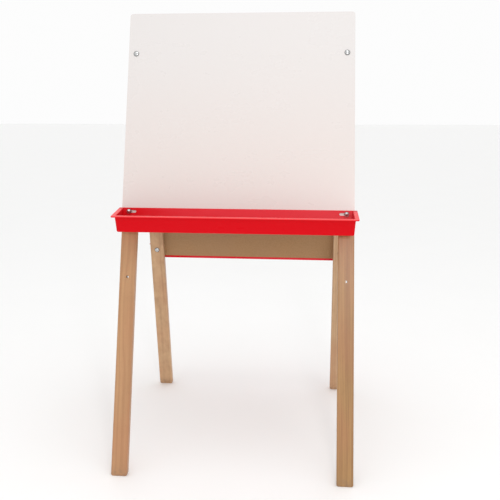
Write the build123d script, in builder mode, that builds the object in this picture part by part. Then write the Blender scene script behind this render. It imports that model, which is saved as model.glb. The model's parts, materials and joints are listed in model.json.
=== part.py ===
"""Two-sided folding easel for children: two leg frames hinged at the top, each with a board and a tray.

Millimetres, +Z up. The origin is on the floor, midway between the front and rear legs and midway
between the left and right legs. The front board faces -Y. Left and right are as seen from the front.
"""
import os
from math import asin, cos, radians, sin, tan

from build123d import *

# Overall sizes
BOARD_WIDTH = 609.6
BOARD_HEIGHT = 571.5
LEG_LENGTH = 1219.2
LEG_TILT = 14.5

# Legs
LEG_WIDTH = 41.3
LEG_THICKNESS = 19.05
LEG_END_RADIUS = 5.0
LEG_EDGE_RADIUS = 2.0
LEG_ABOVE_PIN = 5.0

# Boards
BOARD_THICKNESS = 4.8
BOARD_CORNER_RADIUS = 8.0

# Where the bolts go: the top ones below the board's top edge, the tray's above its bottom edge
TOP_BOLT_DROP = 113.0
TRAY_BOLT_MARGIN = 27.5
HOLE_PITCH = 172.0

# Quarter inch bolts, nuts and washers
BOLT_RADIUS = 3.175
BOLT_HOLE_CLEARANCE = 0.325
BOLT_HEAD_RADIUS = 7.3
BOLT_HEAD_HEIGHT = 3.6
BOLT_HEAD_EDGE = 0.8
THREAD_CLEARANCE = 0.025
NUT_ACROSS_FLATS = 11.1
NUT_HEIGHT = 5.6
NUT_CHAMFER = 0.6
CAP_NUT_SKIRT = 5.2
CAP_NUT_HEIGHT = 10.5
CAP_NUT_EDGE = 1.2
CAP_NUT_END_GAP = 1.3
BOLT_PAST_NUT = 1.0
WASHER_RADIUS = 8.0
WASHER_THICKNESS = 1.6

# Trays
TRAY_END_INSET = 1.0
TRAY_DIP = 5.5
TRAY_RISE = 9.7
TRAY_DROP = 35.2
TRAY_DEPTH = 86.3
TRAY_FRONT_DRAFT = 6.5
TRAY_END_DRAFT = 4.0
TRAY_WALL = 3.0
TRAY_RIM_WIDTH = 8.0
TRAY_RIM_THICKNESS = 3.2
TRAY_RIM_CORNER_RADIUS = 6.0
TRAY_CORNER_RADIUS = 5.0
TRAY_BOTTOM_RADIUS = 4.0
TRAY_EDGE_RADIUS = 1.0
TRAY_SLOT_TRAVEL = 15.2

# Hinges at the top of the legs
PIN_OFFSET = 8.0
PIN_RADIUS = 2.5
PIN_CLEARANCE = 0.05
PIN_HEAD_RADIUS = 3.6
PIN_HEAD_HEIGHT = 1.2
BARREL_RADIUS = 5.0
HINGE_EDGE_INSET = 2.15
KNUCKLE_GAP = 0.3
LEAF_BOTTOM_DROP = 58.0
LEAF_THICKNESS = 2.0
LEAF_CRANK_DROP = 10.0
LEAF_CORNER_RADIUS = 6.0
CRANK_INNER_ANGLE = -35.0
CRANK_OUTER_ANGLE = 10.0
HINGE_SCREW_DROPS = (22.0, 34.0, 46.0)
HINGE_SCREW_STAGGER = 9.0
HINGE_SCREW_HEAD_RADIUS = 3.9
HINGE_SCREW_SHANK_RADIUS = 1.9
HINGE_SCREW_LENGTH = 15.0
HINGE_SCREW_POINT = 4.0
COUNTERSINK_CLEARANCE = 0.05
HINGE_SCREW_RECESS = 4.6

# Tapered cross recess in the head of a screw
RECESS_SLOT_WIDTH = 1.1
RECESS_DEPTH = 1.8
RECESS_TAPER = 8.0

# Slotted stays between the front and rear legs, measured down from the hinge pin
STAY_PIVOT_BELOW_SCREWS = 9.0
STAY_SLIDE_DROP = 430.0
STAY_SCREW_INSET = 7.5
STAY_WIDTH = 16.0
STAY_THICKNESS = 2.0
STAY_SLOT_SIDE_PLAY = 1.3
STAY_SLOT_TRAVEL = 20.0
STAY_SLOT_END_PLAY = 0.3
STAY_SIDE_PLAY = 0.2
STAY_HOLE_CLEARANCE = 0.08
STAY_SPACER_THICKNESS = 1.5
STAY_SPACER_RADIUS = 7.0
STAY_SCREW_RADIUS = 3.0
STAY_SCREW_DEPTH = 16.0
STAY_SCREW_HEAD_RADIUS = 6.5
STAY_SCREW_HEAD_HEIGHT = 2.8
STAY_SCREW_HEAD_EDGE = 0.8
STAY_SCREW_RECESS = 5.6

# Derived places
LEG_CENTRE = (BOARD_WIDTH - LEG_WIDTH) / 2
LEG_INNER_EDGE = BOARD_WIDTH / 2 - LEG_WIDTH
LEG_FACE = PIN_OFFSET + LEG_THICKNESS
BOARD_FACE = LEG_FACE + BOARD_THICKNESS
PIN_TO_FOOT = LEG_LENGTH - LEG_ABOVE_PIN
PIN_HEIGHT = PIN_TO_FOOT * cos(radians(LEG_TILT)) - LEG_FACE * sin(radians(LEG_TILT))
TRAY_BACK_DRAFT = LEG_TILT + TRAY_DIP
BOLT_HOLE_RADIUS = BOLT_RADIUS + BOLT_HOLE_CLEARANCE
CAP_NUT_BORE = CAP_NUT_SKIRT + BOLT_PAST_NUT + CAP_NUT_END_GAP
TRAY_BOLT_DROP = BOARD_HEIGHT - TRAY_BOLT_MARGIN
TRAY_LENGTH = BOARD_WIDTH - 2 * TRAY_END_INSET
HINGE_WIDTH = LEG_WIDTH - 2 * HINGE_EDGE_INSET
STAY_PIVOT_DROP = HINGE_SCREW_DROPS[-1] + STAY_PIVOT_BELOW_SCREWS
STAY_SCREW_OFFSET = PIN_OFFSET + STAY_SCREW_INSET
STAY_SLOT_WIDTH = 2 * (STAY_SCREW_RADIUS + STAY_SLOT_SIDE_PLAY)

# Each frame lies in its own plane: origin on the hinge pin, x along the pin, y up the legs and
# z outward, square to the board.
FRAMES = {
    "front": Plane(
        origin=(0, 0, PIN_HEIGHT),
        x_dir=(1, 0, 0),
        z_dir=(0, -cos(radians(LEG_TILT)), sin(radians(LEG_TILT))),
    ),
    "rear": Plane(
        origin=(0, 0, PIN_HEIGHT),
        x_dir=(-1, 0, 0),
        z_dir=(0, cos(radians(LEG_TILT)), sin(radians(LEG_TILT))),
    ),
}
# The rear board and tray hang one hole lower than the front ones.
BOARD_LOWERED = {"front": 0.0, "rear": HOLE_PITCH}
SIDES = {"left": -1, "right": 1}


def local_side(frame_name, side_name):
    """The side's direction along the frame's own x axis."""
    across = FRAMES[frame_name].x_dir.X
    return SIDES[side_name] * across


def edge_on(frame, x):
    """A plane square to the hinge pin: its x runs outward from the pin and its y up the legs."""
    return Plane(origin=frame.from_local_coords((x, 0, 0)), x_dir=frame.z_dir, z_dir=-frame.x_dir)


def finish(part, name):
    """Label a finished piece and write its file."""
    part.label = name
    export_step(part, f"parts/{name}.step")


def build_leg(frame, x):
    """A hardwood bar with its foot cut level with the floor, rounded ends and eased edges."""
    hole_heights = [
        LEG_ABOVE_PIN - drop - lowered
        for drop in (TOP_BOLT_DROP, TRAY_BOLT_DROP)
        for lowered in BOARD_LOWERED.values()
    ]
    blank_length = LEG_LENGTH + LEG_THICKNESS  # reaches below the floor before the foot is cut
    with BuildPart() as leg:
        with BuildSketch(frame.offset(PIN_OFFSET)):
            with Locations((x, LEG_ABOVE_PIN - blank_length / 2)):
                Rectangle(LEG_WIDTH, blank_length)
        extrude(amount=LEG_THICKNESS)
        split(bisect_by=Plane.XY, keep=Keep.TOP)
        across = leg.edges().filter_by(Axis(frame.origin, frame.z_dir))
        fillet(across.group_by(Axis.Z)[-1], LEG_END_RADIUS)
        foot = leg.faces().filter_by(Plane.XY).sort_by(Axis.Z)[0]
        fillet(foot.edges().filter_by(Axis.X, reverse=True), LEG_END_RADIUS)
        broad_faces = leg.faces().sort_by(SortBy.AREA)[-2:]
        fillet(broad_faces.edges(), LEG_EDGE_RADIUS)
        with BuildSketch(frame.offset(PIN_OFFSET)):
            with Locations([(x, height) for height in hole_heights]):
                Circle(BOLT_HOLE_RADIUS)
        extrude(amount=LEG_THICKNESS, mode=Mode.SUBTRACT)
    return leg.part


def build_board(frame, lowered):
    """Hardboard sheet with rounded corners and four bolt holes."""
    top = LEG_ABOVE_PIN - lowered
    hole_places = [
        (side * LEG_CENTRE, top - drop)
        for side in (-1, 1)
        for drop in (TOP_BOLT_DROP, TRAY_BOLT_DROP)
    ]
    with BuildPart() as board:
        with BuildSketch(frame.offset(LEG_FACE)):
            with Locations((0, top - BOARD_HEIGHT / 2)):
                RectangleRounded(BOARD_WIDTH, BOARD_HEIGHT, BOARD_CORNER_RADIUS)
            with Locations(hole_places):
                Circle(BOLT_HOLE_RADIUS, mode=Mode.SUBTRACT)
        extrude(amount=BOARD_THICKNESS)
    return board.part


def tray_section(base, height, inset):
    """A slice through the tray's box, parallel to its rim: back on the board, drafted front and ends."""
    below_rim = TRAY_RISE - height
    back = height * tan(radians(TRAY_BACK_DRAFT)) - inset / cos(radians(TRAY_BACK_DRAFT))
    front = below_rim * tan(radians(TRAY_FRONT_DRAFT)) - TRAY_DEPTH
    front += inset / cos(radians(TRAY_FRONT_DRAFT))
    length = TRAY_LENGTH - 2 * below_rim * tan(radians(TRAY_END_DRAFT)) - 2 * inset
    with BuildSketch(base.offset(height)) as section:
        with Locations((0, (back + front) / 2)):
            Rectangle(length, back - front)
    return section.sketch


def tray_box(base, bottom, top, inset, corner_radius, bottom_radius):
    """The tray's box, or the hollow inside it, as a solid."""
    with BuildPart() as box:
        loft([tray_section(base, bottom, inset).face(), tray_section(base, top, inset).face()])
        uprights = box.edges().filter_by(lambda edge: abs(edge.tangent_at(0.5).dot(base.z_dir)) > 0.5)
        fillet(uprights, corner_radius)
        fillet(box.faces().sort_by(Axis.Z)[0].edges(), bottom_radius)
    return box.part


def build_tray(frame, lowered):
    """Moulded plastic tray, dipping a little to the front, with a flanged rim and two slots."""
    bolt_height = LEG_ABOVE_PIN - lowered - TRAY_BOLT_DROP
    bolt_point = frame.from_local_coords((0, bolt_height, BOARD_FACE))
    outward = Vector(0, frame.z_dir.Y, 0).normalized()
    rim_normal = Vector(0, 0, cos(radians(TRAY_DIP))) + outward * sin(radians(TRAY_DIP))
    base = Plane(origin=bolt_point, x_dir=frame.x_dir, z_dir=rim_normal)
    rim = base.offset(TRAY_RISE)
    rim_back = TRAY_RISE * tan(radians(TRAY_BACK_DRAFT))
    rim_front = -TRAY_DEPTH - TRAY_RIM_WIDTH
    rim_depth = rim_back - rim_front + TRAY_RIM_CORNER_RADIUS  # its back corners are cut off at the board
    outer = tray_box(base, -TRAY_DROP, TRAY_RISE, 0, TRAY_CORNER_RADIUS, TRAY_BOTTOM_RADIUS)
    hollow = tray_box(
        base,
        TRAY_WALL - TRAY_DROP,
        TRAY_RISE + TRAY_WALL,
        TRAY_WALL,
        TRAY_CORNER_RADIUS - TRAY_WALL,
        TRAY_BOTTOM_RADIUS - TRAY_WALL,
    )
    slot_centre = LEG_CENTRE - TRAY_SLOT_TRAVEL / 2
    slot_places = [(side * slot_centre, bolt_height) for side in SIDES.values()]
    with BuildPart() as tray:
        add(outer)
        with BuildSketch(rim):
            with Locations((0, rim_front + rim_depth / 2)):
                RectangleRounded(TRAY_LENGTH + 2 * TRAY_RIM_WIDTH, rim_depth, TRAY_RIM_CORNER_RADIUS)
        extrude(amount=-TRAY_RIM_THICKNESS)
        split(bisect_by=frame.offset(BOARD_FACE), keep=Keep.TOP)
        add(hollow, mode=Mode.SUBTRACT)
        rim_top = tray.faces().filter_by(rim).sort_by(Axis(rim.origin, rim.z_dir))[-1]
        off_board = [
            edge for edge in rim_top.edges() if frame.to_local_coords(edge.center()).Z > BOARD_FACE + 0.01
        ]
        fillet(off_board, TRAY_EDGE_RADIUS)
        with BuildSketch(frame.offset(BOARD_FACE)):
            with Locations(slot_places):
                SlotCenterToCenter(TRAY_SLOT_TRAVEL, 2 * BOLT_HOLE_RADIUS)
        extrude(amount=TRAY_WALL * 1.5, mode=Mode.SUBTRACT)
    return tray.part


def bolt_seats(frame, offset, drop, inward=False):
    """Planes on the two bolt lines, one for each leg, facing out of the board or inward from it."""
    direction = -frame.z_dir if inward else frame.z_dir
    return [
        Plane(
            origin=frame.from_local_coords((side * LEG_CENTRE, LEG_ABOVE_PIN - drop, offset)),
            x_dir=frame.x_dir,
            z_dir=direction,
        )
        for side in SIDES.values()
    ]


def turned(seat, outline):
    """A solid of revolution about the seat's normal, from a half outline of (radius, height) points.

    The outline's last step is an arc that meets the axis square on, as on a domed head.
    """
    *straight, top = outline
    edge_radius, edge_height = straight[-1]
    rise = top - edge_height
    dome_radius = (edge_radius**2 + rise**2) / (2 * rise)
    half_turn = asin(edge_radius / dome_radius) / 2
    midpoint = (dome_radius * sin(half_turn), top - dome_radius * (1 - cos(half_turn)))
    side_view = Plane(origin=seat.origin, x_dir=seat.x_dir, z_dir=-seat.y_dir)
    with BuildPart() as solid:
        with BuildSketch(side_view):
            with BuildLine():
                Polyline((0, top), (0, straight[0][1]), *straight)
                ThreePointArc((edge_radius, edge_height), midpoint, (0, top))
            make_face()
        revolve(axis=Axis(seat.origin, seat.z_dir))
    return solid.part


def build_round_bolts(seats, grip):
    """Round-head bolts: each dome stands on its seat and the shank runs back through the grip."""
    with BuildPart() as bolts:
        for seat in seats:
            shank = [(BOLT_RADIUS, -grip), (BOLT_RADIUS, 0)]
            head = [(BOLT_HEAD_RADIUS, 0), (BOLT_HEAD_RADIUS, BOLT_HEAD_EDGE)]
            add(turned(seat, [*shank, *head, BOLT_HEAD_HEIGHT]))
    return bolts.part


def build_hex_nuts(seats):
    """Plain hexagon nuts with chamfered corners."""
    with BuildPart() as nuts:
        for seat in seats:
            with BuildSketch(seat):
                RegularPolygon(NUT_ACROSS_FLATS / 2, 6, major_radius=False)
                Circle(BOLT_RADIUS + THREAD_CLEARANCE, mode=Mode.SUBTRACT)
            extrude(amount=NUT_HEIGHT)
            outer_end = nuts.faces(Select.LAST).sort_by(Axis(seat.origin, seat.z_dir))[-1]
            chamfer(outer_end.outer_wire().edges(), NUT_CHAMFER)
    return nuts.part


def build_cap_nuts(seats):
    """Domed nuts: a hexagon skirt under a round cap, with a blind bore for the end of the bolt."""
    cap_radius = NUT_ACROSS_FLATS / 2 - NUT_CHAMFER
    with BuildPart() as nuts:
        for seat in seats:
            with BuildSketch(seat):
                RegularPolygon(NUT_ACROSS_FLATS / 2, 6, major_radius=False)
            extrude(amount=CAP_NUT_SKIRT)
            cap_outline = [(cap_radius, 0), (cap_radius, CAP_NUT_SKIRT + CAP_NUT_EDGE), CAP_NUT_HEIGHT]
            add(turned(seat, cap_outline))
            with BuildSketch(seat):
                Circle(BOLT_RADIUS + THREAD_CLEARANCE)
            extrude(amount=CAP_NUT_BORE, mode=Mode.SUBTRACT)
    return nuts.part


def build_washers(seats, inner_radius, outer_radius, thickness):
    """Flat washers, one on each seat."""
    with BuildPart() as washers:
        for seat in seats:
            with BuildSketch(seat):
                Circle(outer_radius)
                Circle(inner_radius, mode=Mode.SUBTRACT)
            extrude(amount=thickness)
    return washers.part


def cross_recess(mouth, span):
    """The hollow for a cross-head screwdriver, sunk into the face that the mouth plane lies on."""
    with BuildPart() as recess:
        with BuildSketch(mouth):
            Rectangle(span, RECESS_SLOT_WIDTH)
            Rectangle(RECESS_SLOT_WIDTH, span)
        extrude(amount=-RECESS_DEPTH, taper=RECESS_TAPER)
    return recess.part


def countersink(clearance):
    """A countersunk screw, or with a clearance the hole for it: its head is level with z = 0."""
    head_radius = HINGE_SCREW_HEAD_RADIUS + clearance
    shank_radius = HINGE_SCREW_SHANK_RADIUS + clearance
    with BuildPart() as screw:
        with BuildSketch(Plane.XZ):
            with BuildLine():
                Polyline(
                    (0, 0),
                    (head_radius, 0),
                    (shank_radius, head_radius - shank_radius),
                    (shank_radius, HINGE_SCREW_LENGTH - HINGE_SCREW_POINT),
                    (0, HINGE_SCREW_LENGTH),
                    close=True,
                )
            make_face()
        revolve(axis=Axis.Z)
    return screw.part


def screw_places(hinge_x):
    """Where the hinge screws go on a leaf, staggered about its middle."""
    return [
        (hinge_x + HINGE_SCREW_STAGGER * (-1) ** n, -drop) for n, drop in enumerate(HINGE_SCREW_DROPS)
    ]


def build_hinge_leaf(frame, hinge_x, knuckle_centres, knuckle_width):
    """A steel plate on the leg's inner face, cranked up to knuckles round the pin."""
    plate_length = LEAF_BOTTOM_DROP - LEAF_CRANK_DROP
    barrel_edge = [
        (BARREL_RADIUS * cos(radians(angle)), BARREL_RADIUS * sin(radians(angle)))
        for angle in (CRANK_INNER_ANGLE, CRANK_OUTER_ANGLE)
    ]
    with BuildPart() as leaf:
        with BuildSketch(frame.offset(PIN_OFFSET - LEAF_THICKNESS)) as plate:
            with Locations((hinge_x, -LEAF_BOTTOM_DROP + plate_length / 2)):
                Rectangle(HINGE_WIDTH, plate_length)
            fillet(plate.vertices().group_by(Axis.Y)[0], LEAF_CORNER_RADIUS)
        extrude(amount=LEAF_THICKNESS)
        for centre in knuckle_centres:
            with BuildSketch(edge_on(frame, hinge_x + centre)):
                Circle(BARREL_RADIUS)
                Polygon(
                    (PIN_OFFSET, -LEAF_CRANK_DROP),
                    (PIN_OFFSET - LEAF_THICKNESS, -LEAF_CRANK_DROP),
                    *barrel_edge,
                    align=None,
                )
            extrude(amount=knuckle_width / 2, both=True)
        with BuildSketch(edge_on(frame, hinge_x)):
            Circle(PIN_RADIUS + PIN_CLEARANCE)
        extrude(amount=HINGE_WIDTH, both=True, mode=Mode.SUBTRACT)
        with Locations(frame.offset(PIN_OFFSET - LEAF_THICKNESS)):
            with Locations([Pos(x, y) for x, y in screw_places(hinge_x)]):
                add(countersink(COUNTERSINK_CLEARANCE), mode=Mode.SUBTRACT)
    return leaf.part


def build_hinge_screws(frame):
    """Countersunk wood screws through both hinge leaves of a frame."""
    recess = cross_recess(-Plane.XY, HINGE_SCREW_RECESS)
    with BuildPart() as screws:
        with Locations(frame.offset(PIN_OFFSET - LEAF_THICKNESS)):
            for side in SIDES.values():
                with Locations([Pos(x, y) for x, y in screw_places(side * LEG_CENTRE)]):
                    add(countersink(0))
                    add(recess, mode=Mode.SUBTRACT)
    return screws.part


def build_hinge_pin(x):
    """A plain pin with a flat head at each end of the barrel."""
    middle = Plane(origin=(x, 0, PIN_HEIGHT), z_dir=(1, 0, 0))
    with BuildPart() as pin:
        with BuildSketch(middle):
            Circle(PIN_RADIUS)
        extrude(amount=HINGE_WIDTH / 2 + PIN_HEAD_HEIGHT, both=True)
        for end in (-1, 1):
            with BuildSketch(middle.offset(end * HINGE_WIDTH / 2)):
                Circle(PIN_HEAD_RADIUS)
            extrude(amount=end * PIN_HEAD_HEIGHT)
    return pin.part


def stay_seat(frame, side, drop):
    """A plane on the leg's inner edge, facing the middle of the easel, where a stay is screwed on."""
    across = side * frame.x_dir.X
    place = (across * LEG_INNER_EDGE, -drop, STAY_SCREW_OFFSET)
    return Plane(origin=frame.from_local_coords(place), x_dir=frame.z_dir, z_dir=(-side, 0, 0))


def build_stay_screws(frame, drop):
    """Shouldered screws, one on each leg: the stay turns or slides on the shoulder under the head."""
    stack = STAY_SPACER_THICKNESS + STAY_THICKNESS + 2 * STAY_SIDE_PLAY
    with BuildPart() as screws:
        for side in SIDES.values():
            seat = stay_seat(frame, side, drop)
            shank = [(STAY_SCREW_RADIUS, -STAY_SCREW_DEPTH), (STAY_SCREW_RADIUS, stack)]
            head = [(STAY_SCREW_HEAD_RADIUS, stack), (STAY_SCREW_HEAD_RADIUS, stack + STAY_SCREW_HEAD_EDGE)]
            add(turned(seat, [*shank, *head, stack + STAY_SCREW_HEAD_HEIGHT]))
            crown = seat.offset(stack + STAY_SCREW_HEAD_HEIGHT)
            add(cross_recess(crown, STAY_SCREW_RECESS), mode=Mode.SUBTRACT)
    return screws.part


def build_stay(side):
    """A flat steel stay: a pivot hole on the front leg and a slot that slides on the rear leg's screw."""
    pivot = stay_seat(FRAMES["front"], side, STAY_PIVOT_DROP)
    slide = stay_seat(FRAMES["rear"], side, STAY_SLIDE_DROP)
    along = slide.origin - pivot.origin
    reach = along.length
    slot_end = reach + STAY_SCREW_RADIUS + STAY_SLOT_END_PLAY - STAY_SLOT_WIDTH / 2
    lift = STAY_SPACER_THICKNESS + STAY_SIDE_PLAY
    flat = Plane(origin=pivot.from_local_coords((0, 0, lift)), x_dir=along, z_dir=pivot.z_dir)
    with BuildPart() as stay:
        with BuildSketch(flat):
            with Locations((slot_end / 2, 0)):
                SlotCenterToCenter(slot_end, STAY_WIDTH)
            Circle(STAY_SCREW_RADIUS + STAY_HOLE_CLEARANCE, mode=Mode.SUBTRACT)
            with Locations((slot_end - STAY_SLOT_TRAVEL / 2, 0)):
                SlotCenterToCenter(STAY_SLOT_TRAVEL, STAY_SLOT_WIDTH, mode=Mode.SUBTRACT)
        extrude(amount=STAY_THICKNESS)
    return stay.part


def build_frame_hardware(frame_name, lowered):
    """The bolts, nuts and washers that hold one frame's board and tray on its legs."""
    frame = FRAMES[frame_name]
    top_drop = TOP_BOLT_DROP + lowered
    tray_drop = TRAY_BOLT_DROP + lowered
    nut_seat_offset = PIN_OFFSET - WASHER_THICKNESS
    top_grip = BOARD_FACE - nut_seat_offset + NUT_HEIGHT + BOLT_PAST_NUT
    tray_nut_offset = BOARD_FACE + TRAY_WALL
    tray_grip = tray_nut_offset - PIN_OFFSET + CAP_NUT_SKIRT + BOLT_PAST_NUT
    outside = bolt_seats(frame, BOARD_FACE, top_drop)
    behind_leg = bolt_seats(frame, PIN_OFFSET, top_drop, inward=True)
    behind_washer = bolt_seats(frame, nut_seat_offset, top_drop, inward=True)
    inner_face = bolt_seats(frame, PIN_OFFSET, tray_drop, inward=True)
    in_tray = bolt_seats(frame, tray_nut_offset, tray_drop)
    top_washers = build_washers(behind_leg, BOLT_HOLE_RADIUS, WASHER_RADIUS, WASHER_THICKNESS)
    finish(build_round_bolts(outside, top_grip), f"{frame_name}_top_bolts")
    finish(top_washers, f"{frame_name}_top_washers")
    finish(build_hex_nuts(behind_washer), f"{frame_name}_top_nuts")
    finish(build_round_bolts(inner_face, tray_grip), f"{frame_name}_tray_bolts")
    finish(build_cap_nuts(in_tray), f"{frame_name}_tray_cap_nuts")


def build_hinge(side_name):
    """One hinge: the front leaf has the two outer knuckles and the rear leaf the middle one."""
    knuckle_width = (HINGE_WIDTH - 2 * KNUCKLE_GAP) / 3
    outer_centre = knuckle_width + KNUCKLE_GAP
    knuckles = {"front": (-outer_centre, outer_centre), "rear": (0,)}
    for frame_name, frame in FRAMES.items():
        hinge_x = local_side(frame_name, side_name) * LEG_CENTRE
        leaf = build_hinge_leaf(frame, hinge_x, knuckles[frame_name], knuckle_width)
        finish(leaf, f"{side_name}_hinge_{frame_name}_leaf")
    finish(build_hinge_pin(SIDES[side_name] * LEG_CENTRE), f"{side_name}_hinge_pin")


os.makedirs("parts", exist_ok=True)

for frame_name, frame in FRAMES.items():
    lowered = BOARD_LOWERED[frame_name]
    for side_name in SIDES:
        x = local_side(frame_name, side_name) * LEG_CENTRE
        finish(build_leg(frame, x), f"{frame_name}_{side_name}_leg")
    finish(build_board(frame, lowered), f"{frame_name}_board")
    finish(build_tray(frame, lowered), f"{frame_name}_tray")
    build_frame_hardware(frame_name, lowered)
    finish(build_hinge_screws(frame), f"{frame_name}_hinge_screws")

for side_name, side in SIDES.items():
    build_hinge(side_name)
    finish(build_stay(side), f"{side_name}_stay")

stay_drops = {"front": STAY_PIVOT_DROP, "rear": STAY_SLIDE_DROP}
screw_names = {"front": "stay_pivot", "rear": "stay_slide"}
hole_radius = STAY_SCREW_RADIUS + STAY_HOLE_CLEARANCE
for frame_name, frame in FRAMES.items():
    drop = stay_drops[frame_name]
    seats = [stay_seat(frame, side, drop) for side in SIDES.values()]
    spacers = build_washers(seats, hole_radius, STAY_SPACER_RADIUS, STAY_SPACER_THICKNESS)
    finish(build_stay_screws(frame, drop), f"{screw_names[frame_name]}_screws")
    finish(spacers, f"{screw_names[frame_name]}_spacers")
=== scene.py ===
import json
from math import cos, pi, radians, sin

import bpy
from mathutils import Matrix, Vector


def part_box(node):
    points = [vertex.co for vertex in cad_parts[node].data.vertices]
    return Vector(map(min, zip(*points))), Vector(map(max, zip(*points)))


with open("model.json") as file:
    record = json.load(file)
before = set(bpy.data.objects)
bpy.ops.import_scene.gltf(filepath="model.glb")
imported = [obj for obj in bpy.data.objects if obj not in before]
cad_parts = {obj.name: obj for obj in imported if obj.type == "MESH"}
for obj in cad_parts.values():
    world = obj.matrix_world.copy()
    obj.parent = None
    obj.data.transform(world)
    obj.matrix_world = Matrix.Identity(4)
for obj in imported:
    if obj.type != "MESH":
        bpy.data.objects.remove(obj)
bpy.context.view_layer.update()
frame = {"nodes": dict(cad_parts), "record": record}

# Hardwood legs. Four planed bars of a close-grained timber such as beech, with eased edges, drilled for
# the bolts and wiped with a thin satin lacquer. Two pairs lean together and turn on pins at the top, so
# each half has its own lie: the grain runs up the bar, and outward is through the board.
mounts = {mount["name"]: mount for mount in frame["record"]["mounts"]}
outward = {
    "front": Vector(mounts["front_left_lower_hole"]["axis"]),
    "rear": Vector(mounts["rear_left_upper_hole"]["axis"]),
}
across = Vector((1, 0, 0))
up_leg = {
    "front": outward["front"].cross(across),
    "rear": across.cross(outward["rear"]),
}


class Value:
    """A shader socket that can be added, multiplied and so on like a number."""

    def __init__(self, shader, socket):
        self.shader = shader
        self.socket = socket

    def __add__(self, other):
        return self.shader.maths("ADD", self, other)

    def __radd__(self, other):
        return self.shader.maths("ADD", other, self)

    def __sub__(self, other):
        return self.shader.maths("SUBTRACT", self, other)

    def __rsub__(self, other):
        return self.shader.maths("SUBTRACT", other, self)

    def __mul__(self, other):
        return self.shader.maths("MULTIPLY", self, other)

    def __rmul__(self, other):
        return self.shader.maths("MULTIPLY", other, self)

    def __pow__(self, other):
        return self.shader.maths("POWER", self, other)


class Shader:
    """One material: its name, the sockets of its surface that are the same all over, and its nodes."""

    def __init__(self, name, fixed):
        self.material = bpy.data.materials.new(name)
        self.material.use_nodes = True
        self.tree = self.material.node_tree
        self.surface = self.tree.nodes["Principled BSDF"]
        for socket_name, value in fixed.items():
            self.surface.inputs[socket_name].default_value = value

    def plug(self, socket, value):
        """Links a Value to a socket, or sets the socket to a plain number, colour or vector."""
        if isinstance(value, Value):
            self.tree.links.new(value.socket, socket)
        else:
            socket.default_value = value

    def node(self, kind, settings=None, inputs=None, output=0):
        """Adds a node: its settings first, then its sockets. Returns one output as a Value."""
        made = self.tree.nodes.new(kind)
        for name, value in (settings or {}).items():
            setattr(made, name, value)
        for name, value in (inputs or {}).items():
            self.plug(made.inputs[name], value)
        return Value(self, made.outputs[output])

    def maths(self, operation, *values):
        return self.node("ShaderNodeMath", {"operation": operation}, dict(enumerate(values)))

    def vector(self, operation, first, second, output=0):
        inputs = {0: first, 1: second}
        return self.node("ShaderNodeVectorMath", {"operation": operation}, inputs, output)

    def place(self):
        """The point on the piece, in metres in the frame at rest; it stays put as the piece moves."""
        return self.node("ShaderNodeTexCoord", output="Object")

    def along(self, point, direction):
        """How far a point lies along a direction, in metres."""
        return self.vector("DOT_PRODUCT", point, tuple(direction), "Value")

    def combine(self, x, y, z):
        return self.node("ShaderNodeCombineXYZ", inputs={"X": x, "Y": y, "Z": z})

    def noise(self, at, scale=1.0, detail=2.0, roughness=0.5, seed=0.0):
        inputs = {"Vector": at, "W": seed, "Scale": scale, "Detail": detail, "Roughness": roughness}
        return self.node("ShaderNodeTexNoise", {"noise_dimensions": "4D"}, inputs)

    def between(self, value, low, high):
        """0 below low, 1 above high, smooth between them."""
        inputs = {"Value": value, "From Min": low, "From Max": high}
        return self.node("ShaderNodeMapRange", {"interpolation_type": "SMOOTHSTEP"}, inputs)

    def mix(self, factor, first, second):
        """A colour between two colours."""
        colours = [value if isinstance(value, Value) else (*value, 1.0) for value in (first, second)]
        inputs = {"Factor": factor, 6: colours[0], 7: colours[1]}
        return self.node("ShaderNodeMix", {"data_type": "RGBA"}, inputs, 2)

    def finish(self, colour, roughness, height=None, depth=0.001):
        """Plugs in what varies over the surface: colour, roughness, and relief of a given depth."""
        self.plug(self.surface.inputs["Base Color"], colour)
        self.plug(self.surface.inputs["Roughness"], roughness)
        if height is not None:
            inputs = {"Strength": 1.0, "Distance": depth, "Height": height}
            self.plug(self.surface.inputs["Normal"], self.node("ShaderNodeBump", inputs=inputs))
        return self.material


def paint(node, material):
    """Gives a part of the frame its finish."""
    mesh = frame["nodes"][node].data
    mesh.materials.clear()
    mesh.materials.append(material)


RING_SPACING = 0.0042
RING_RIPPLE = 0.0016
ROSY_WOOD = (0.50, 0.20, 0.100)
PORE_BROWN = (0.16, 0.075, 0.035)
FLOOR_DIRT = (0.22, 0.14, 0.09)
DIRT_FROM = 0.002
DIRT_TO = 0.030
LEGS = {
    "front_left_leg": {
        "light": (0.515, 0.290, 0.140), "dark": (0.365, 0.182, 0.082),
        "heart": (0.012, 0.055), "wander": 0.016, "figure": 0.15, "seed": 3.1,
    },
    "front_right_leg": {
        "light": (0.435, 0.243, 0.090), "dark": (0.225, 0.112, 0.042),
        "heart": (0.10, 0.02), "wander": 0.006, "figure": 0.10, "seed": 7.7,
    },
    "rear_left_leg": {
        "light": (0.590, 0.385, 0.215), "dark": (0.410, 0.242, 0.128),
        "heart": (-0.02, 0.09), "wander": 0.020, "figure": 0.95, "seed": 12.4,
    },
    "rear_right_leg": {
        "light": (0.600, 0.395, 0.225), "dark": (0.450, 0.270, 0.145),
        "heart": (0.05, 0.07), "wander": 0.010, "figure": 0.35, "seed": 19.9,
    },
}


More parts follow.
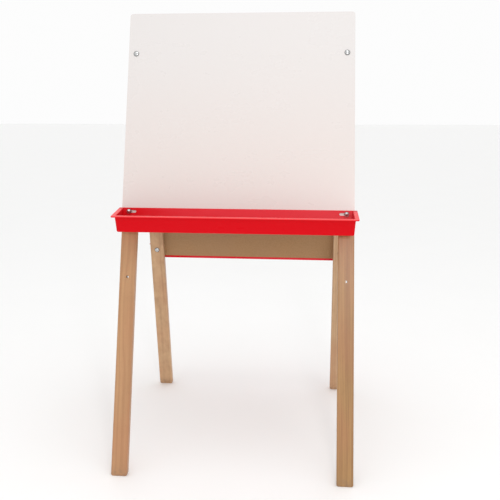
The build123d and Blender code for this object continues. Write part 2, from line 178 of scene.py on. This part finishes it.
def hardwood(name, half, light, dark, heart, wander, figure, seed):
    """Lacquered close-grained wood with rings about the heart of the log, which lies beside the bar.

    The rings wander along the bar, and figure is how strongly its surface is mottled.
    """
    shader = Shader(name, {"Coat Weight": 0.25, "Coat Roughness": 0.30, "Specular IOR Level": 0.35})
    low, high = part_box(name)
    middle = (low + high) / 2
    from_middle = shader.vector("SUBTRACT", shader.place(), tuple(middle))
    side = shader.along(from_middle, across)
    length = shader.along(from_middle, up_leg[half])
    through = shader.along(from_middle, outward[half])

    def stretched(around, along, detail, layer):
        """Noise drawn out along the grain: how fine it is around the bar and along it."""
        at = shader.combine(side * around, through * around, length * along)
        return shader.noise(at, detail=detail, seed=seed + layer)

    drift = (stretched(6, 2.2, 1.0, 0) - 0.5) * wander
    ripple = (stretched(60, 9, 2.0, 1) - 0.5) * RING_RIPPLE
    from_heart = ((side - heart[0] + drift) ** 2 + (through - heart[1] + drift) ** 2) ** 0.5
    rings = shader.maths("SINE", (from_heart + ripple) * (2 * pi / RING_SPACING)) * 0.5 + 0.5
    late_wood = rings ** 3
    fibres = stretched(900, 14, 3.0, 2)
    streaks = stretched(80, 2.2, 3.0, 3)
    cloud = stretched(14, 4.5, 2.0, 4)
    mottle = stretched(55, 38, 2.0, 5)
    pores = shader.between(stretched(2400, 90, 1.0, 6), 0.66, 0.74)
    tone = (0.18 * late_wood + 0.95 * streaks + 0.45 * cloud - 0.28
            + figure * (mottle - 0.5) + 0.35 * (fibres - 0.5))
    colour = shader.mix(shader.between(tone, 0.05, 0.85), light, dark)
    colour = shader.mix(0.28 * shader.between(cloud, 0.45, 0.75), colour, ROSY_WOOD)
    colour = shader.mix(0.35 * pores, colour, PORE_BROWN)
    above_floor = shader.along(shader.place(), (0, 0, 1))
    scuffs = shader.noise(shader.place(), 140.0, 3.0, seed=seed + 7)
    grime = (1 - shader.between(above_floor, DIRT_FROM, DIRT_TO)) * shader.between(scuffs, 0.35, 0.65)
    colour = shader.mix(0.45 * grime, colour, FLOOR_DIRT)
    roughness = 0.42 + 0.14 * fibres + 0.10 * grime - 0.05 * late_wood
    height = 0.5 * fibres + 0.25 * late_wood - 0.8 * pores
    return shader.finish(colour, roughness, height, 0.00012)


for leg, cut in LEGS.items():
    paint(leg, hardwood(leg, leg.split("_")[0], **cut))


# Boards. Smooth hardboard sheets, 24 inches wide, with a white melamine marker face outside and the bare
# brown pressed fibre inside and along the sawn edges. Four bolts hold each one on its two legs.
WHITE = (0.690, 0.667, 0.657)
# Pinkish, darker white for the painted red bounce and shade from the tray.
TRAY_BOUNCE_TINT = (0.690, 0.602, 0.565)
PRESSED_FIBRE = (0.405, 0.232, 0.104)
FIBRE_DARK = (0.295, 0.155, 0.062)
FIBRE_STAIN = (0.330, 0.200, 0.110)
MELAMINE_THICKNESS = 0.0004
BOUNCE_FROM = 0.05
BOUNCE_TO = 0.55


def reach(node, direction):
    """How far a part of the frame reaches along a direction."""
    return max(vertex.co.dot(direction) for vertex in frame["nodes"][node].data.vertices)


def marker_board(half):
    """White melamine over brown hardboard, told apart by depth below the marker face.

    The white carries a painted pinkish shade, stronger toward the tray: painted red bounce light and
    shade from the tray, with a little noise.
    """
    shader = Shader(f"{half}_marker_board", {"Specular IOR Level": 0.5})
    point = shader.place()
    face = reach(f"{half}_board", outward[half])
    low_edge = -reach(f"{half}_board", -up_leg[half])
    through = shader.along(point, outward[half])
    melamine = shader.between(through, face - MELAMINE_THICKNESS, face - MELAMINE_THICKNESS / 2)
    rise = shader.along(point, up_leg[half])
    smears = shader.noise(point, 9.0, 4.0, 0.6, seed=2.0)
    strokes = shader.combine(shader.along(point, across) * 3, rise * 26, 0)
    wiped = shader.noise(strokes, detail=3.0, seed=5.0)
    orange_peel = shader.noise(point, 480.0, 2.0, seed=6.0)
    # Painted light: toward the tray the white is tinted pinkish and darkened, as painted red bounce light
    # and shade from the tray.
    tray_bounce = 0.75 - 0.65 * shader.between(rise - low_edge, BOUNCE_FROM, BOUNCE_TO) + 0.10 * (smears - 0.5)
    white = shader.mix(tray_bounce, WHITE, TRAY_BOUNCE_TINT)
    felt = shader.noise(point, 1500.0, 3.0, 0.7, seed=8.0)
    flakes = shader.noise(point, 260.0, 4.0, 0.65, seed=9.0)
    stain = shader.noise(point, 7.0, 2.0, seed=10.0)
    fibre = shader.mix(shader.between(0.55 * felt + 0.55 * flakes, 0.35, 0.75), FIBRE_DARK, PRESSED_FIBRE)
    fibre = shader.mix(0.35 * shader.between(stain, 0.35, 0.70), fibre, FIBRE_STAIN)
    colour = shader.mix(melamine, fibre, white)
    smooth = 0.20 + 0.10 * smears + 0.06 * wiped
    roughness = melamine * smooth + (1 - melamine) * (0.62 + 0.2 * felt)
    height = melamine * orange_peel * 0.015 + (1 - melamine) * (0.6 * felt + 0.5 * flakes)
    return shader.finish(colour, roughness, height, 0.0001)


for half in outward:
    paint(f"{half}_board", marker_board(half))


# Trays. One-piece injection mouldings in glossy red plastic, with a turned-out rim that stiffens the
# edge. Each is bolted through two slots in its back wall, over the lower edge of its board.
RED = (0.630, 0.0006, 0.0060)
DEEP_RED = (0.570, 0.0006, 0.005)
# Lighter red for the painted reflection on the inner walls of the trays.
INNER_SHEEN_RED = (0.700, 0.032, 0.046)
# Pale red for the painted highlight along the top of the rim.
RIM_HIGHLIGHT_RED = (0.900, 0.080, 0.088)
SCRATCH_RED = (0.80, 0.10, 0.09)
TRAY_DIP = radians(5.5)
RIM_DEPTH = 0.0022
BACK_RIM_FROM = 0.028
BACK_RIM_TO = 0.036


def red_moulding(half):
    """Glossy coloured plastic: faint flow and shrink ripple, a painted reflection inside and a painted
    highlight on the rim.
    """
    shader = Shader(f"{half}_red_moulding", {"Specular IOR Level": 0.09})
    low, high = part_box(f"{half}_tray")
    middle = (low + high) / 2
    level_out = Vector((0, outward[half].y, 0)).normalized()
    rim_normal = Vector((0, 0, cos(TRAY_DIP))) + level_out * sin(TRAY_DIP)
    rim_top = reach(f"{half}_tray", rim_normal)
    point = shader.place()
    side = shader.along(point, across)
    back = shader.along(point, (0, 1, 0))
    rise = shader.along(point, (0, 0, 1))
    flow = shader.noise(shader.combine(side * 5, back * 22, rise * 22), detail=3.0, seed=1.0)
    ripple = shader.noise(point, 24.0, 1.0, seed=2.0)
    grain = shader.noise(point, 900.0, 2.0, seed=3.0)
    rubbed = shader.noise(shader.combine(side * 40, rise * 700, back * 700), detail=2.0, seed=4.0)
    scratches = shader.between(rubbed, 0.60, 0.72)
    colour = shader.mix(0.5 * flow, RED, DEEP_RED)
    toward_board = shader.along(shader.vector("SUBTRACT", point, tuple(middle)), -level_out)
    inside = shader.between(toward_board, -0.010, 0.010)
    # Painted reflection: inside the tray the red is lightened, patchy with the flow and lighter toward
    # the right, as a painted sheen of the white board and sky.
    inner_sheen = inside * (0.75 * shader.between(flow, 0.35, 0.65) + 0.55 * shader.between(side, -0.25, 0.10))
    colour = shader.mix(inner_sheen, colour, INNER_SHEEN_RED)
    height = shader.along(point, rim_normal)
    on_rim = shader.between(height, rim_top - RIM_DEPTH, rim_top - RIM_DEPTH / 2)
    free_edge = 1 - shader.between(toward_board, BACK_RIM_FROM, BACK_RIM_TO)
    # Painted highlight: the top of the rim, except along the back wall, is painted a pale red highlight.
    colour = shader.mix(0.80 * on_rim * free_edge, colour, RIM_HIGHLIGHT_RED)
    colour = shader.mix(0.05 * scratches, colour, SCRATCH_RED)
    roughness = 0.24 + 0.10 * flow + 0.10 * scratches
    relief = 0.7 * ripple + 0.03 * grain - 0.02 * scratches
    return shader.finish(colour, roughness, relief, 0.0006)


for half in outward:
    paint(f"{half}_tray", red_moulding(half))


# Bolts, nuts and washers. Quarter inch mild steel hardware, bright zinc plated: round heads outside the
# boards, washers and hexagon nuts behind the top of the legs, and domed cap nuts inside the trays. Each
# kind faces out (1) or in (-1), and below a depth under its tip it carries a painted shade.
BRIGHT_ZINC = (0.78, 0.78, 0.77)
GREY_ZINC = (0.34, 0.35, 0.36)
# Dark colour for the painted shade around the foot of each head and nut.
DOME_FOOT_SHADE = (0.050, 0.050, 0.052)
SHADE_FADE_DEPTH = 0.0015
HARDWARE = {
    "top_bolts": (1, 0.0012),
    "top_washers": (-1, 0.0010),
    "top_nuts": (-1, 0.0050),
    "tray_bolts": (-1, 0.0010),
    "tray_cap_nuts": (1, 0.0036),
}


def plated(name, colour, shade, roughness, brushing=None, dome=None):
    """Zinc on steel: cloudy plating with small spangles, and brushing along one direction if given.

    A dome is a direction, a tip and a depth: where it points, how far out its tip lies, and how deep
    below the tip the colour stays bright before a painted shade darkens it toward the surface that it
    sits on.
    """
    shader = Shader(name, {"Metallic": 1.0})
    point = shader.place()
    cloud = shader.noise(point, 60.0, 3.0, seed=1.0)
    spangle = shader.noise(point, 700.0, 3.0, 0.7, seed=2.0)
    if brushing is None:
        lines = shader.noise(point, 1800.0, 2.0, seed=3.0)
    else:
        squash = [1600 * (1 - abs(part)) + 60 * abs(part) for part in brushing]
        lines = shader.noise(shader.vector("MULTIPLY", point, tuple(squash)), detail=2.0, seed=3.0)
    tone = 0.5 * cloud + 0.4 * spangle + 0.2 * lines
    tint = shader.mix(shader.between(tone, 0.30, 0.80), colour, shade)
    rough = roughness + 0.12 * cloud + 0.10 * lines
    if dome is not None:
        direction, tip, unshaded_depth = dome
        # Painted shade: below the bright tip each head and nut is darkened toward the surface that it
        # sits on.
        below_tip = tip - shader.along(point, direction)
        foot_shade = shader.between(below_tip, unshaded_depth, unshaded_depth + SHADE_FADE_DEPTH)
        tint = shader.mix(0.9 * foot_shade, tint, DOME_FOOT_SHADE)
        rough = rough + 0.2 * foot_shade
    return shader.finish(tint, rough, 0.3 * spangle + 0.4 * lines, 0.00004)


for half in outward:
    for item, (way, unshaded_depth) in HARDWARE.items():
        direction = outward[half] * way
        dome = (direction, reach(f"{half}_{item}", direction), unshaded_depth)
        paint(f"{half}_{item}", plated(f"{half}_{item}_zinc", BRIGHT_ZINC, GREY_ZINC, 0.08, dome=dome))


# Hinges. Two pressed steel butt hinges, one on the inner faces of each pair of leg tops, turning on
# headed pins and held by countersunk cross-head wood screws.
pressed_steel = plated("pressed_steel", (0.66, 0.65, 0.62), (0.45, 0.44, 0.43), 0.26, (1.0, 0.0, 0.0))
pin_steel = plated("pin_steel", (0.70, 0.70, 0.69), (0.48, 0.48, 0.48), 0.20)
screw_zinc = plated("screw_zinc", (0.74, 0.72, 0.66), (0.50, 0.48, 0.42), 0.22)
for side in ("left", "right"):
    for half in outward:
        paint(f"{side}_hinge_{half}_leaf", pressed_steel)
    paint(f"{side}_hinge_pin", pin_steel)
for half in outward:
    paint(f"{half}_hinge_screws", screw_zinc)


# Stays. Two flat steel straps keep the legs from spreading. Each turns on a shouldered screw in the front
# leg, and its slot slides on another in the rear leg, with a steel spacer under it at both ends.
strap_steel = plated("strap_steel", (0.60, 0.59, 0.57), (0.42, 0.41, 0.40), 0.28, (0.0, 0.4, 0.9))
for side in ("left", "right"):
    paint(f"{side}_stay", strap_steel)
for item in ("stay_pivot_screws", "stay_slide_screws", "stay_pivot_spacers", "stay_slide_spacers"):
    paint(item, screw_zinc)


# Studio. A plain pale floor under even white light, with a small key light above and to the right of the
# camera and a soft box overhead. The camera stands in front of the easel, a little to its right, and
# level with the middle of the front board.
FLOOR_HALF_WIDTH = 30.0
FLOOR_COLOUR = (0.93, 0.93, 0.925)
FLOOR_SPECKLE = (0.95, 0.95, 0.945)
SKY_STRENGTH = 0.98

floor_shader = Shader("pale_floor", {"Specular IOR Level": 0.2})
speckle = floor_shader.noise(floor_shader.place(), 3.0, 4.0, seed=1.0)
floor_tone = floor_shader.mix(speckle, FLOOR_COLOUR, FLOOR_SPECKLE)
floor_mesh = bpy.data.meshes.new("floor")
quarters = ((-1, -1), (1, -1), (1, 1), (-1, 1))
corners = [(x * FLOOR_HALF_WIDTH, y * FLOOR_HALF_WIDTH, 0.0) for x, y in quarters]
floor_mesh.from_pydata(corners, [], [(0, 1, 2, 3)])
floor_mesh.materials.append(floor_shader.finish(floor_tone, 0.6 + 0.1 * speckle))
floor = bpy.data.objects.new("floor", floor_mesh)
scene = bpy.context.scene
scene.collection.objects.link(floor)

scene.view_settings.view_transform = "Standard"
world = bpy.data.worlds.new("studio")
world.use_nodes = True
sky = world.node_tree.nodes["Background"]
sky.inputs["Color"].default_value = (1.0, 1.0, 1.0, 1.0)
sky.inputs["Strength"].default_value = SKY_STRENGTH
scene.world = world


def soft_light(name, position, target, size, power):
    """A square soft box aimed at a point."""
    lamp = bpy.data.lights.new(name, "AREA")
    lamp.size = size
    lamp.energy = power
    light = bpy.data.objects.new(name, lamp)
    light.location = position
    light.rotation_euler = (Vector(target) - Vector(position)).to_track_quat("-Z", "Y").to_euler()
    scene.collection.objects.link(light)


soft_light("key", (0.48, -2.25, 1.14), (0.0, 0.0, 0.75), size=0.22, power=9.0)
soft_light("overhead", (0.3, -0.9, 3.0), (0.0, -0.1, 0.7), size=1.5, power=10.0)

lens = bpy.data.cameras.new("camera")
lens.sensor_width = 36.0
lens.lens = 54.28
lens.shift_x = 0.03
lens.shift_y = -0.11
camera = bpy.data.objects.new("camera", lens)
camera.location = (0.1869, -2.1032, 0.9420)
camera.rotation_euler = (radians(82.97), 0.0, radians(5.63))
scene.collection.objects.link(camera)
scene.camera = camera
